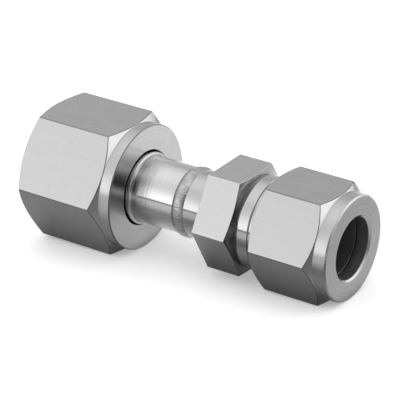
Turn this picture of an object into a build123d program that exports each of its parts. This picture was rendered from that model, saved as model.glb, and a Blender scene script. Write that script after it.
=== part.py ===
from build123d import *
from math import cos, radians, sin, sqrt, tan
import os

# Face seal fitting for half-inch tube, in millimetres. The fitting's axis is X, with the tube
# end towards +X, and one flat of each hexagon faces +Z. The origin is the centre of the circle
# along the crown of the sealing bead on the gland's face. Profiles are drawn in the XZ plane as
# (place along the axis, radius) and turned about the axis.

# Clearances
SEAT_GAP = 0.3
CONE_GAP = 0.12
FERRULE_SIDE_GAP = 0.3
SOCKET_CLEARANCE = 0.08
FERRULE_BORE_CLEARANCE = 0.1
NUT_BORE_CLEARANCE = 0.15
THREAD_CLEARANCE = 0.08
NUT_HOLE_CLEARANCE = 0.32

# Tube and flow passage
TUBE_DIAMETER = 12.7
FLOW_BORE_DIAMETER = 10.3

# Gland: sealing bead, head, shoulder in the nut's back hole, and stem
BEAD_LAND = 0.7
BEAD_WIDTH = 1.9
BEAD_RISE = 0.4
HEAD_THICKNESS = 3.1
HEAD_SIDE_GAP = 1.4
HEAD_EDGE = 0.3
SHOULDER_PROUD = 0.5
SHOULDER_STEP = 0.6
STEM_WALL = 1.95
STEM_LENGTH = 10.55
BORE_EDGE = 0.25

# Butt weld between the stem and the neck
WELD_WIDTH = 2.75
WELD_CROWN = 0.33
WELD_ROOT = 0.12

# Connector body: neck, hexagon, collar, plain ring, thread and tube socket
NECK_WALL = 2.0
NECK_LENGTH = 5.3
BODY_ACROSS_FLATS = 20.64
BODY_HEX_LENGTH = 8.97
COLLAR_LENGTH = 2.8
COLLAR_EDGE = 0.25
RING_STEP = 0.025
RING_LENGTH = 0.68
THREAD_DEPTH = 0.825
THREAD_LENGTH = 8.2
BODY_END_WALL = 0.95
BODY_END_EDGE = 0.45
SOCKET_DEPTH = 12.95
MOUTH_DEPTH = 3.63
SEAL_CONE_ANGLE = 20

# Front ferrule
FRONT_NOSE_WALL = 0.35
FRONT_CONE_LENGTH = 2.88
FRONT_RIM_LENGTH = 2.9

# Back ferrule
BACK_TIP_WALL = 0.3
BACK_NOSE_WALL = 0.85
BACK_FLANGE_INSET = 0.1
BACK_FLANGE_LENGTH = 1.92
BACK_CONE_ANGLE = 45

# Tube nut
TUBE_NUT_ACROSS_FLATS = 22.225
TUBE_NUT_FACE_INSET = 0.36
TUBE_NUT_MOUTH_EDGE = 0.55
TUBE_NUT_THREAD_OVERRUN = 1.7
TUBE_NUT_LAND_LENGTH = 2.85
TUBE_NUT_BORE_EDGE = 0.4
TUBE_NUT_COLLAR_INSET = 0.11
TUBE_NUT_COLLAR_LENGTH = 2.9
TUBE_NUT_RIM_EDGE = 0.32

# Face seal nut
SEAL_NUT_ACROSS_FLATS = 26.99
SEAL_NUT_LENGTH = 22.8
SEAL_NUT_WALL = 3.9
SEAL_NUT_FACE_INSET = 0.4
SEAL_NUT_COLLAR_INSET = 0.1
SEAL_NUT_COLLAR_LENGTH = 2.6
SEAL_NUT_RIM_EDGE = 0.2
SEAL_NUT_HOLE_EDGE = 0.15
SEAL_NUT_MOUTH_EDGE = 0.49
SEAL_THREAD_DIAMETER = 22.225
SEAL_RELIEF_STEP = 0.39
SEAL_RELIEF_LENGTH = 6.0

# Chamfers of the hexagons, measured from a plane across the axis
TUBE_NUT_FRONT_ANGLE = 30
HEX_CHAMFER_ANGLE = 34
BODY_END_ANGLE = 30

cone_slope = tan(radians(SEAL_CONE_ANGLE))
back_slope = tan(radians(BACK_CONE_ANGLE))
tube_nut_front_slope = tan(radians(TUBE_NUT_FRONT_ANGLE))
chamfer_slope = tan(radians(HEX_CHAMFER_ANGLE))
body_end_slope = tan(radians(BODY_END_ANGLE))

# Radii of the gland, the weld and the body
bore_radius = FLOW_BORE_DIAMETER / 2
stem_radius = bore_radius + STEM_WALL
neck_radius = bore_radius + NECK_WALL
shoulder_radius = stem_radius + SHOULDER_STEP
bead_inner_radius = bore_radius + BEAD_LAND
bead_outer_radius = bead_inner_radius + BEAD_WIDTH
bead_circle_radius = bore_radius + BEAD_LAND + BEAD_WIDTH / 2
socket_radius = TUBE_DIAMETER / 2 + SOCKET_CLEARANCE
mouth_radius = socket_radius + MOUTH_DEPTH * cone_slope
thread_root_radius = mouth_radius + BODY_END_WALL
thread_radius = thread_root_radius + THREAD_DEPTH
ring_radius = thread_radius + RING_STEP
collar_radius = ring_radius + COLLAR_EDGE
body_corner = BODY_ACROSS_FLATS / sqrt(3)

# Radii of the ferrules and the tube nut
ferrule_bore_radius = TUBE_DIAMETER / 2 + FERRULE_BORE_CLEARANCE
front_nose_radius = ferrule_bore_radius + FRONT_NOSE_WALL
front_rim_radius = front_nose_radius + FRONT_CONE_LENGTH * cone_slope
back_tip_radius = ferrule_bore_radius + BACK_TIP_WALL
back_nose_radius = ferrule_bore_radius + BACK_NOSE_WALL
back_flange_radius = front_rim_radius - BACK_FLANGE_INSET
recess_radius = back_nose_radius + CONE_GAP / cos(radians(BACK_CONE_ANGLE))
cavity_radius = front_rim_radius + FERRULE_SIDE_GAP
nut_bore_radius = TUBE_DIAMETER / 2 + NUT_BORE_CLEARANCE
nut_thread_radius = thread_radius + THREAD_CLEARANCE
nut_mouth_radius = nut_thread_radius + TUBE_NUT_MOUTH_EDGE
nut_face_radius = TUBE_NUT_ACROSS_FLATS / 2 - TUBE_NUT_FACE_INSET
nut_collar_radius = TUBE_NUT_ACROSS_FLATS / 2 - TUBE_NUT_COLLAR_INSET
nut_corner = TUBE_NUT_ACROSS_FLATS / sqrt(3)

# Radii of the face seal nut, whose thread leaves room for the gland's head
seal_thread_radius = SEAL_THREAD_DIAMETER / 2
head_radius = seal_thread_radius - HEAD_SIDE_GAP
seal_relief_radius = seal_thread_radius + SEAL_RELIEF_STEP
seal_mouth_radius = seal_thread_radius + SEAL_NUT_MOUTH_EDGE
seal_hole_radius = shoulder_radius + NUT_HOLE_CLEARANCE
seal_face_radius = SEAL_NUT_ACROSS_FLATS / 2 - SEAL_NUT_FACE_INSET
seal_collar_radius = SEAL_NUT_ACROSS_FLATS / 2 - SEAL_NUT_COLLAR_INSET
seal_corner = SEAL_NUT_ACROSS_FLATS / sqrt(3)

# Places along the axis: the gland and the nut that bears on the back of its head
head_face = BEAD_RISE
head_back = head_face + HEAD_THICKNESS
seal_nut_seat = head_back + SEAT_GAP
seal_nut_back = seal_nut_seat + SEAL_NUT_WALL
seal_nut_front = seal_nut_back - SEAL_NUT_LENGTH
seal_relief_start = seal_nut_seat - SEAL_RELIEF_LENGTH
seal_collar_start = seal_nut_back - SEAL_NUT_COLLAR_LENGTH
shoulder_end = seal_nut_back + SHOULDER_PROUD
fillet_end = shoulder_end + SHOULDER_STEP

# Places along the axis: the weld and the connector body
stem_end = shoulder_end + STEM_LENGTH
weld_middle = stem_end + WELD_WIDTH / 2
weld_end = stem_end + WELD_WIDTH
neck_end = weld_end + NECK_LENGTH
body_hex_end = neck_end + BODY_HEX_LENGTH
collar_end = body_hex_end + COLLAR_LENGTH
ring_end = collar_end + RING_LENGTH
body_end = ring_end + THREAD_LENGTH
mouth_start = body_end - MOUTH_DEPTH
socket_start = body_end - SOCKET_DEPTH

# Places along the axis: the front ferrule stands off the body's cone by CONE_GAP, the back
# ferrule stands face to face behind it, and the tube nut's drive cone stands off that one.
cone_stand_off = CONE_GAP / sin(radians(SEAL_CONE_ANGLE))
front_rim_start = body_end + (front_rim_radius - mouth_radius) / cone_slope + cone_stand_off
front_nose_start = front_rim_start - FRONT_CONE_LENGTH
front_end = front_rim_start + FRONT_RIM_LENGTH
back_nose_start = front_end - (back_nose_radius - back_tip_radius) / back_slope
back_flange_end = front_end + BACK_FLANGE_LENGTH
back_end = back_flange_end + (back_flange_radius - back_tip_radius) / back_slope
drive_stand_off = CONE_GAP / sin(radians(BACK_CONE_ANGLE))
drive_cone_start = back_flange_end - (cavity_radius - back_flange_radius) / back_slope + drive_stand_off
drive_cone_end = back_flange_end + (back_flange_radius - nut_bore_radius) / back_slope + drive_stand_off
tube_nut_front = ring_end + SEAT_GAP
tube_nut_back = drive_cone_end + TUBE_NUT_LAND_LENGTH
nut_thread_end = body_end + TUBE_NUT_THREAD_OVERRUN
nut_collar_start = tube_nut_back - TUBE_NUT_COLLAR_LENGTH

# Gland
with BuildPart() as gland:
    with BuildSketch(Plane.XZ):
        with BuildLine():
            ThreePointArc(
                (head_face, bead_inner_radius),
                (0, bead_circle_radius),
                (head_face, bead_outer_radius),
            )
            Polyline(
                (head_face, bead_outer_radius),
                (head_face, head_radius - HEAD_EDGE),
                (head_face + HEAD_EDGE, head_radius),
                (head_back - HEAD_EDGE, head_radius),
                (head_back, head_radius - HEAD_EDGE),
                (head_back, shoulder_radius),
                (shoulder_end, shoulder_radius),
            )
            RadiusArc((shoulder_end, shoulder_radius), (fillet_end, stem_radius), SHOULDER_STEP)
            Polyline(
                (fillet_end, stem_radius),
                (stem_end, stem_radius),
                (stem_end, bore_radius),
                (head_face + BORE_EDGE, bore_radius),
                (head_face, bore_radius + BORE_EDGE),
                (head_face, bead_inner_radius),
            )
        make_face()
    revolve(axis=Axis.X)

# Weld bead: a full-penetration ring, crowned outside and slightly proud in the bore
with BuildPart() as weld_bead:
    with BuildSketch(Plane.XZ):
        with BuildLine():
            crown_radius = max(stem_radius, neck_radius) + WELD_CROWN
            root_radius = bore_radius - WELD_ROOT
            ThreePointArc((stem_end, stem_radius), (weld_middle, crown_radius), (weld_end, neck_radius))
            Line((weld_end, neck_radius), (weld_end, bore_radius))
            ThreePointArc((weld_end, bore_radius), (weld_middle, root_radius), (stem_end, bore_radius))
            Line((stem_end, bore_radius), (stem_end, stem_radius))
        make_face()
    revolve(axis=Axis.X)

# Connector body: the hexagon is turned to a cone at its tube end only
with BuildPart() as connector_body:
    with BuildSketch(Plane.YZ.offset(neck_end)):
        RegularPolygon(radius=BODY_ACROSS_FLATS / 2, side_count=6, major_radius=False)
    extrude(amount=BODY_HEX_LENGTH)
    with BuildSketch(Plane.XZ):
        with BuildLine():
            Polyline(
                (neck_end, 0),
                (neck_end, body_corner),
                (body_hex_end - (body_corner - collar_radius) * chamfer_slope, body_corner),
                (body_hex_end, collar_radius),
                (body_hex_end, 0),
                close=True,
            )
        make_face()
    revolve(axis=Axis.X, mode=Mode.INTERSECT)
    with BuildSketch(Plane.XZ):
        with BuildLine():
            Polyline(
                (weld_end, 0),
                (weld_end, neck_radius),
                (body_hex_end, neck_radius),
                (body_hex_end, collar_radius),
                (collar_end - COLLAR_EDGE, collar_radius),
                (collar_end, ring_radius),
                (ring_end, ring_radius),
                (ring_end, thread_root_radius),
                (body_end - BODY_END_EDGE * body_end_slope, thread_root_radius),
                (body_end, thread_root_radius - BODY_END_EDGE),
                (body_end, 0),
                close=True,
            )
        make_face()
    revolve(axis=Axis.X)
    with BuildSketch(Plane.XZ):
        with BuildLine():
            Polyline(
                (weld_end, 0),
                (weld_end, bore_radius),
                (socket_start, bore_radius),
                (socket_start, socket_radius),
                (mouth_start, socket_radius),
                (body_end, mouth_radius),
                (body_end, 0),
                close=True,
            )
        make_face()
    revolve(axis=Axis.X, mode=Mode.SUBTRACT)

# Front ferrule: the nose cone seals in the body's mouth, and the recess takes the back ferrule
with BuildPart() as front_ferrule:
    with BuildSketch(Plane.XZ):
        with BuildLine():
            Polyline(
                (front_nose_start, ferrule_bore_radius),
                (front_nose_start, front_nose_radius),
                (front_rim_start, front_rim_radius),
                (front_end, front_rim_radius),
                (front_end, recess_radius),
                (front_end - (recess_radius - ferrule_bore_radius) / back_slope, ferrule_bore_radius),
                close=True,
            )
        make_face()
    revolve(axis=Axis.X)

# Back ferrule: a nose in the front ferrule's recess, and a flange that the nut's cone drives
with BuildPart() as back_ferrule:
    with BuildSketch(Plane.XZ):
        with BuildLine():
            Polyline(
                (back_nose_start, ferrule_bore_radius),
                (back_nose_start, back_tip_radius),
                (front_end, back_nose_radius),
                (front_end, back_flange_radius),
                (back_flange_end, back_flange_radius),
                (back_end, back_tip_radius),
                (back_end, ferrule_bore_radius),
                close=True,
            )
        make_face()
    revolve(axis=Axis.X)

# Tube nut: a hexagon bar turned to its chamfers and collar, then bored from both ends
with BuildPart() as tube_nut:
    with BuildSketch(Plane.YZ.offset(tube_nut_front)):
        RegularPolygon(radius=TUBE_NUT_ACROSS_FLATS / 2, side_count=6, major_radius=False)
    extrude(amount=tube_nut_back - tube_nut_front)
    with BuildSketch(Plane.XZ):
        with BuildLine():
            Polyline(
                (tube_nut_front, 0),
                (tube_nut_front, nut_face_radius),
                (tube_nut_front + (nut_corner - nut_face_radius) * tube_nut_front_slope, nut_corner),
                (nut_collar_start - (nut_corner - nut_collar_radius) * chamfer_slope, nut_corner),
                (nut_collar_start, nut_collar_radius),
                (tube_nut_back - TUBE_NUT_RIM_EDGE, nut_collar_radius),
                (tube_nut_back, nut_collar_radius - TUBE_NUT_RIM_EDGE),
                (tube_nut_back, 0),
                close=True,
            )
        make_face()
    revolve(axis=Axis.X, mode=Mode.INTERSECT)
    with BuildSketch(Plane.XZ):
        with BuildLine():
            Polyline(
                (tube_nut_front, 0),
                (tube_nut_front, nut_mouth_radius),
                (tube_nut_front + TUBE_NUT_MOUTH_EDGE, nut_thread_radius),
                (nut_thread_end, nut_thread_radius),
                (nut_thread_end, cavity_radius),
                (drive_cone_start, cavity_radius),
                (drive_cone_end, nut_bore_radius),
                (tube_nut_back - TUBE_NUT_BORE_EDGE, nut_bore_radius),
                (tube_nut_back, nut_bore_radius + TUBE_NUT_BORE_EDGE),
                (tube_nut_back, 0),
                close=True,
            )
        make_face()
    revolve(axis=Axis.X, mode=Mode.SUBTRACT)

# Face seal nut: turned the same way, with a threaded mouth, a relief round the gland's head
# and a back hole round its shoulder
with BuildPart() as face_seal_nut:
    with BuildSketch(Plane.YZ.offset(seal_nut_front)):
        RegularPolygon(radius=SEAL_NUT_ACROSS_FLATS / 2, side_count=6, major_radius=False)
    extrude(amount=SEAL_NUT_LENGTH)
    with BuildSketch(Plane.XZ):
        with BuildLine():
            Polyline(
                (seal_nut_front, 0),
                (seal_nut_front, seal_face_radius),
                (seal_nut_front + (seal_corner - seal_face_radius) * chamfer_slope, seal_corner),
                (seal_collar_start - (seal_corner - seal_collar_radius) * chamfer_slope, seal_corner),
                (seal_collar_start, seal_collar_radius),
                (seal_nut_back - SEAL_NUT_RIM_EDGE, seal_collar_radius),
                (seal_nut_back, seal_collar_radius - SEAL_NUT_RIM_EDGE),
                (seal_nut_back, 0),
                close=True,
            )
        make_face()
    revolve(axis=Axis.X, mode=Mode.INTERSECT)
    with BuildSketch(Plane.XZ):
        with BuildLine():
            Polyline(
                (seal_nut_front, 0),
                (seal_nut_front, seal_mouth_radius),
                (seal_nut_front + SEAL_NUT_MOUTH_EDGE, seal_thread_radius),
                (seal_relief_start, seal_thread_radius),
                (seal_relief_start + SEAL_RELIEF_STEP, seal_relief_radius),
                (seal_nut_seat, seal_relief_radius),
                (seal_nut_seat, seal_hole_radius),
                (seal_nut_back - SEAL_NUT_HOLE_EDGE, seal_hole_radius),
                (seal_nut_back, seal_hole_radius + SEAL_NUT_HOLE_EDGE),
                (seal_nut_back, 0),
                close=True,
            )
        make_face()
    revolve(axis=Axis.X, mode=Mode.SUBTRACT)

gland.part.label = "gland"
weld_bead.part.label = "weld_bead"
connector_body.part.label = "connector_body"
front_ferrule.part.label = "front_ferrule"
back_ferrule.part.label = "back_ferrule"
tube_nut.part.label = "tube_nut"
face_seal_nut.part.label = "face_seal_nut"

os.makedirs("parts", exist_ok=True)
export_step(gland.part, "parts/gland.step")
export_step(weld_bead.part, "parts/weld_bead.step")
export_step(connector_body.part, "parts/connector_body.step")
export_step(front_ferrule.part, "parts/front_ferrule.step")
export_step(back_ferrule.part, "parts/back_ferrule.step")
export_step(tube_nut.part, "parts/tube_nut.step")
export_step(face_seal_nut.part, "parts/face_seal_nut.step")

print(f"face seal nut from {seal_nut_front:.3f} to {seal_nut_back:.3f}")
print(f"its thread wall from {seal_nut_front + SEAL_NUT_MOUTH_EDGE:.3f} to {seal_relief_start:.3f}")
print(f"weld from {stem_end:.3f} to {weld_end:.3f}, radius {stem_radius:.3f} to {crown_radius:.3f}")
print(f"body hexagon from {neck_end:.3f} to {body_hex_end:.3f}, collar radius {collar_radius:.3f}")
print(f"body thread from {ring_end:.3f} to {body_end:.3f}, root radius {thread_root_radius:.3f}")
print(f"socket wall from {socket_start:.3f} to {mouth_start:.3f}, radius {socket_radius:.3f}")
print(f"ferrules from {front_nose_start:.3f} to {back_end:.3f}, radius {front_rim_radius:.3f}")
print(f"tube nut from {tube_nut_front:.3f} to {tube_nut_back:.3f}, thread radius {nut_thread_radius:.3f}")
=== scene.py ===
import logging
from dataclasses import dataclass
from enum import Enum
from functools import cache
from math import atan2, ceil, cos, pi, radians, sin, sqrt, tan, tau
from typing import Any, Callable, Mapping, Optional, Sequence, Union

import bmesh
import bpy
from mathutils import Matrix, Vector, noise


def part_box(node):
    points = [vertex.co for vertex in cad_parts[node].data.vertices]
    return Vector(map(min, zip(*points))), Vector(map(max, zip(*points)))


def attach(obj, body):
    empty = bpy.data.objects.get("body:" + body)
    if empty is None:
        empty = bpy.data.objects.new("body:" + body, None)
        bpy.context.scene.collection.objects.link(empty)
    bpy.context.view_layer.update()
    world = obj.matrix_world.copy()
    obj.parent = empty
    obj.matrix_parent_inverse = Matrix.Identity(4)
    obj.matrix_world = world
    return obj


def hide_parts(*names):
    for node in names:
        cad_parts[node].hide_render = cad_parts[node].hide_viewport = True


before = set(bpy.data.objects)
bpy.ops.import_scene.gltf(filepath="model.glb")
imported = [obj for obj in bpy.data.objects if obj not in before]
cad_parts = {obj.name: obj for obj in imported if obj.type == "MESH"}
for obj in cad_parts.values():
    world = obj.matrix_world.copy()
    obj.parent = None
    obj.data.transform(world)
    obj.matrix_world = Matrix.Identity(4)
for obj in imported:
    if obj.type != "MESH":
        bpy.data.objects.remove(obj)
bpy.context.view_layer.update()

# A stainless face seal fitting for half-inch tube. Every length is in millimetres until a mesh is
# made from it. The fitting's axis is X, and angles about it count from +Y towards +Z.

MM = 0.001
LOG = logging.getLogger("fitting")

# How far from a corner its rounding starts: at the weld, at a sharp edge, inside the pieces, at a
# turned face and anywhere else.
JOINT_BREAK = 0.02
SHARP_BREAK = 0.03
FINE_BREAK = 0.05
FACE_BREAK = 0.06
EDGE_BREAK = 0.07
EDGE_STEPS = 3
MOST_OF_A_BAND = 0.45
SHARP_TURN = radians(4.5)


class Surface(Enum):
    """The surfaces that one machined piece can have, in the order of its material slots."""

    DRAWN = 0
    FACED = 1
    TURNED = 2
    BORED = 3
    # The edge slot holds painted highlight on the body's hexagon corners and painted shade on the
    # nuts' edges.
    EDGE = 4
    # The sixth slot holds the painted shade of the body's relief.
    UNDERCUT = 5


class Feed(Enum):
    """The way a lathe tool went over a surface."""

    ALONG = "along the axis"
    ACROSS = "across the axis"


# Outlines and bars


@dataclass(frozen=True)
class Corner:
    """A corner of a piece's outline, in the half-plane from its axis.

    Args:
        along: Its place along the axis.
        radius: Its distance from the axis.
        surface: The surface of the band that starts here.
        edge: How far from the corner its rounding starts.
        steps: How many strips the rounding has.
        rounding: The surface of those strips, if it isn't that of the band.
    """

    along: float
    radius: float
    surface: Surface = Surface.TURNED
    edge: float = EDGE_BREAK
    steps: int = EDGE_STEPS
    rounding: Optional[Surface] = None

    def towards(self, other: "Corner", distance: float) -> tuple[float, float]:
        """Finds a point on the line from this corner to another.

        Args:
            other: The corner that the line goes to.
            distance: How far along the line the point lies, short of the line's middle.

        Returns:
            The point's place along the axis and its radius.
        """
        run, rise = other.along - self.along, other.radius - self.radius
        length = sqrt(run * run + rise * rise)
        share = min(distance / length, MOST_OF_A_BAND) if length else 0.0
        return self.along + run * share, self.radius + rise * share


Outline = Callable[[float, float], Sequence[Corner]]


def broken_edges(corners: Sequence[Corner]) -> list[tuple[float, float, Surface]]:
    """Rounds each corner of a closed outline.

    Args:
        corners: The outline's corners in order.

    Returns:
        Points as place along the axis, radius and the surface of the band that starts there.
    """
    points = []
    for index, corner in enumerate(corners):
        before, after = corners[index - 1], corners[(index + 1) % len(corners)]
        if corner.steps == 0:
            points.append((corner.along, corner.radius, corner.surface))
            continue
        start, end = corner.towards(before, corner.edge), corner.towards(after, corner.edge)
        for step in range(corner.steps + 1):
            share = step / corner.steps
            weights = ((1 - share) ** 2, 2 * share * (1 - share), share**2)
            along = weights[0] * start[0] + weights[1] * corner.along + weights[2] * end[0]
            radius = weights[0] * start[1] + weights[1] * corner.radius + weights[2] * end[1]
            plain = step == corner.steps or corner.rounding is None
            points.append((along, radius, corner.surface if plain else corner.rounding))
    return points


@dataclass(frozen=True)
class RoundBar:
    """Round bar, whose rim has no reach of its own."""

    segments: int = 256

    def rim(self) -> list[tuple[float, float]]:
        """Lists the angle of each point round the rim, with no reach."""
        return [(tau * index / self.segments, 0.0) for index in range(self.segments)]

    def at_corner(self, column: int) -> bool:
        """Says that no column of a round bar lies at a corner."""
        return False


@dataclass(frozen=True)
class HexBar:
    """Hexagon bar with one flat facing up and slightly rounded corners."""

    across_flats: float
    corner_round: float = 0.22
    flat_steps: int = 36
    corner_steps: int = 8

    def rim(self) -> list[tuple[float, float]]:
        """Lists the points round the bar's section.

        Returns:
            The angle and the distance from the axis of each point.
        """
        inner, half_side = self.across_flats / 2, self.across_flats / 2 * tan(pi / 6)
        straight = half_side - self.corner_round * tan(pi / 6)
        centre = self.across_flats / sqrt(3) - self.corner_round / cos(pi / 6)
        points = []
        for side in range(6):
            corner_angle = side * pi / 3
            for step in range(self.corner_steps):
                turn = (step / self.corner_steps - 0.5) * pi / 3
                across = centre + self.corner_round * cos(turn)
                up = self.corner_round * sin(turn)
                points.append((corner_angle + atan2(up, across), sqrt(across**2 + up**2)))
            flat_angle = corner_angle + pi / 6
            for step in range(self.flat_steps):
                place = straight * (2 * step / self.flat_steps - 1)
                points.append((flat_angle + atan2(place, inner), sqrt(inner**2 + place**2)))
        return points

    def at_corner(self, column: int) -> bool:
        """Says whether a column of faces lies on a rounded corner."""
        return column % (self.corner_steps + self.flat_steps) < self.corner_steps


def add_object(
    name: str,
    points: Sequence[tuple[float, float, float]],
    faces: Sequence[Sequence[int]],
    surfaces: Sequence[int],
    sharp: float,
) -> bpy.types.Object:
    """Makes a smooth-shaded mesh object from points in millimetres.

    Args:
        name: The piece's name.
        points: Its vertices.
        faces: Its faces as lists of vertex numbers.
        surfaces: The material slot of each face.
        sharp: The turn between two faces, in radians, from which their edge is sharp.

    Returns:
        The new object, linked to the scene.
    """
    mesh = bpy.data.meshes.new(name)
    mesh.from_pydata([[value * MM for value in point] for point in points], [], faces)
    mesh.polygons.foreach_set("material_index", surfaces)
    mesh.polygons.foreach_set("use_smooth", [True] * len(faces))
    shape = bmesh.new()
    shape.from_mesh(mesh)
    bmesh.ops.recalc_face_normals(shape, faces=shape.faces)
    shape.to_mesh(mesh)
    shape.free()
    mesh.set_sharp_from_angle(angle=sharp)
    made = bpy.data.objects.new(name, mesh)
    bpy.context.scene.collection.objects.link(made)
    return made


def turn_piece(
    name: str, bar: Union[RoundBar, HexBar], outline: Outline, sharp: float = SHARP_TURN
) -> bpy.types.Object:
    """Turns a bar to an outline, as a lathe does.

    Args:
        name: The piece's name.
        bar: The bar it is turned from.
        outline: Gives the closed outline at an angle, from the bar's reach there.
        sharp: The turn in radians from which an edge is sharp.

    Returns:
        The piece's object.
    """
    rim = bar.rim()
    points, faces, surfaces = [], [], []
    for column, (angle, reach) in enumerate(rim):
        profile = broken_edges(outline(angle, reach))
        count, beside = len(profile), (column + 1) % len(rim)
        for row, (along, radius, surface) in enumerate(profile):
            points.append((along, radius * cos(angle), radius * sin(angle)))
            above = (row + 1) % count
            here, there = column * count, beside * count
            faces.append((here + row, there + row, there + above, here + above))
            # Drawn faces on a rounded hexagon corner take the edge slot: painted highlight on the
            # body, painted shade on the nuts.
            at_corner = surface is Surface.DRAWN and bar.at_corner(column)
            surfaces.append(Surface.EDGE.value if at_corner else surface.value)
    return add_object(name, points, faces, surfaces, sharp)


@dataclass(frozen=True)
class ThreadRidge:
    """The ridge of a right-hand thread, wound on a plain wall.

    Args:
        pitch: The rise of one turn.
        wall: The radius of the wall that it stands on.
        crest: The radius of its crest, inside the wall for an internal thread.
        foot_width: Its width at the wall.
        crest_width: Its width at the crest.
        start_gap: How far from the wall's start its middle starts.
        end_gap: How far before the wall's end its middle stops.
        ahead: The share of a turn by which it is wound ahead of a thread that passes +Y at the
            axis' zero. Without it the ridge starts at +Y.
        fade_turns: The share of a turn in which it rises at its start and falls at its end.
        crest_round: How far its crest's edges lie below the crest, in crest widths.
        crest_flat: The share of its crest that is flat.
    """

    pitch: float
    wall: float
    crest: float
    foot_width: float
    crest_width: float
    start_gap: float
    end_gap: float
    ahead: Optional[float] = None
    turn_steps: int = 120
    fade_turns: float = 0.3
    least_height: float = 0.02
    crest_round: float = 0.12
    crest_flat: float = 0.6
    sink: float = 0.03
    sharp: float = radians(12)

    def section(self, height: float) -> tuple[tuple[float, float], ...]:
        """Outlines the ridge's section.

        Args:
            height: The share of its full height that it has here.

        Returns:
            Each corner's distance along the axis from the ridge's middle, and its radius.
        """
        outward = 1 if self.crest > self.wall else -1
        foot = self.wall - outward * self.sink
        crest = self.wall + (self.crest - self.wall) * height
        edge = crest - outward * self.crest_width * self.crest_round * height
        half_foot, half_crest = self.foot_width / 2, self.crest_width / 2
        half_flat = half_crest * self.crest_flat
        return (
            (-half_foot, foot),
            (-half_foot, self.wall),
            (-half_crest, edge),
            (-half_flat, crest),
            (half_flat, crest),
            (half_crest, edge),
            (half_foot, self.wall),
            (half_foot, foot),
        )

    def build(self, name: str, wall_start: float, wall_end: float) -> bpy.types.Object:
        """Winds the ridge.

        Args:
            name: The piece's name.
            wall_start: Where its wall starts along the axis.
            wall_end: Where its wall ends.

        Returns:
            The piece's object.
        """
        start, end = wall_start + self.start_gap, wall_end - self.end_gap
        phase = 0.0 if self.ahead is None else (start / self.pitch + self.ahead) % 1.0
        turns = (end - start) / self.pitch
        steps = ceil(turns * self.turn_steps)
        points = []
        for step in range(steps + 1):
            wound = turns * step / steps
            height = min(1.0, wound / self.fade_turns, (turns - wound) / self.fade_turns)
            height = max(self.least_height, sin(height * pi / 2))
            angle = tau * (wound + phase)
            middle = start + self.pitch * wound
            section = self.section(height)
            for along, radius in section:
                points.append((middle + along, radius * cos(angle), radius * sin(angle)))
        count = len(section)
        faces = [tuple(range(count)), tuple(steps * count + row for row in range(count))]
        for step in range(steps):
            for row in range(count):
                above = (row + 1) % count
                low, high = step * count, (step + 1) * count
                faces.append((low + row, low + above, high + above, high + row))
        return add_object(name, points, faces, [0] * len(faces), self.sharp)


# Shader maths


Term = Union["Value", float]
PerMm = tuple[float, float, float]

# The Mix node's numbered sockets for colours, how harsh the finer layers of a noise are, and how
# many such layers it has.
MIX_FACTOR, MIX_FIRST, MIX_SECOND, MIX_RESULT = 0, 6, 7, 2
GRAIN_HARSHNESS, BAND_HARSHNESS = 0.55, 0.6
PLAIN, SOFT, FINE, PATCHY = 1.0, 2.0, 3.0, 4.0


class Value:
    """A shader socket that takes part in Python arithmetic, one Math node for each operation."""

    def __init__(self, graph: "Graph", socket: bpy.types.NodeSocket) -> None:
        """Keeps the socket, and the graph that new nodes go to."""
        self.graph = graph
        self.socket = socket

    def __add__(self, other: Term) -> "Value":
        """Adds a term."""
        return self.graph.math("ADD", self, other)

    def __radd__(self, other: Term) -> "Value":
        """Is added to a term."""
        return self.graph.math("ADD", other, self)

    def __sub__(self, other: Term) -> "Value":
        """Takes a term away."""
        return self.graph.math("SUBTRACT", self, other)

    def __rsub__(self, other: Term) -> "Value":
        """Is taken away from a term."""
        return self.graph.math("SUBTRACT", other, self)

    def __mul__(self, other: Term) -> "Value":
        """Multiplies by a term."""
        return self.graph.math("MULTIPLY", self, other)

    def __rmul__(self, other: Term) -> "Value":
        """Multiplies a term."""
        return self.graph.math("MULTIPLY", other, self)

    def __truediv__(self, other: Term) -> "Value":
        """Divides by a term."""
        return self.graph.math("DIVIDE", self, other)

    def __rtruediv__(self, other: Term) -> "Value":
        """Divides a term."""
        return self.graph.math("DIVIDE", other, self)

    def stretched(self, low: float, high: float) -> "Value":
        """Maps a range smoothly to 0 to 1.

        Args:
            low: The value that becomes 0.
            high: The value that becomes 1.

        Returns:
            The mapped value.
        """
        inputs = {"Value": self, "From Min": low, "From Max": high}
        return self.graph.add("ShaderNodeMapRange", {"interpolation_type": "SMOOTHSTEP"}, inputs)


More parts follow.
